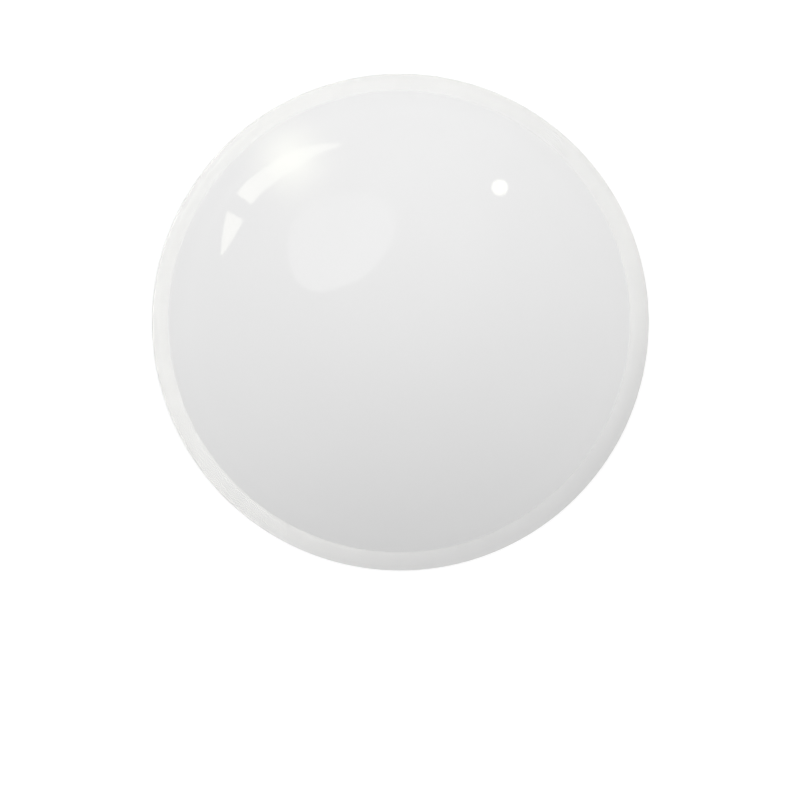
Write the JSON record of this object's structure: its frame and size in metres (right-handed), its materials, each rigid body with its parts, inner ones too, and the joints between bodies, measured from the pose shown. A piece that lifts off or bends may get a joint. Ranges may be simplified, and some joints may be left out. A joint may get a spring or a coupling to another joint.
{
  "type": "costume contact lens",
  "caption": "Soft costume contact lens, a thin curved shell that is white across the middle and clear at its narrow rim, lying with its front face up.",
  "frame": {"origin": "on the lens axis, at the level of the surface that the rim lies on", "axes": "+Z along the lens axis, out of the front face; X and Y lie in the plane of the rim"},
  "size_m": [0.0144, 0.0144, 0.0039],
  "materials": {
    "white_tint": "white pigment in clear gel, wet gloss; the outer 0.5 mm is clear gel with no pigment"
  },
  "bodies": {
    "root": {"contact_lens": "white_tint"}
  },
  "joints": []
}
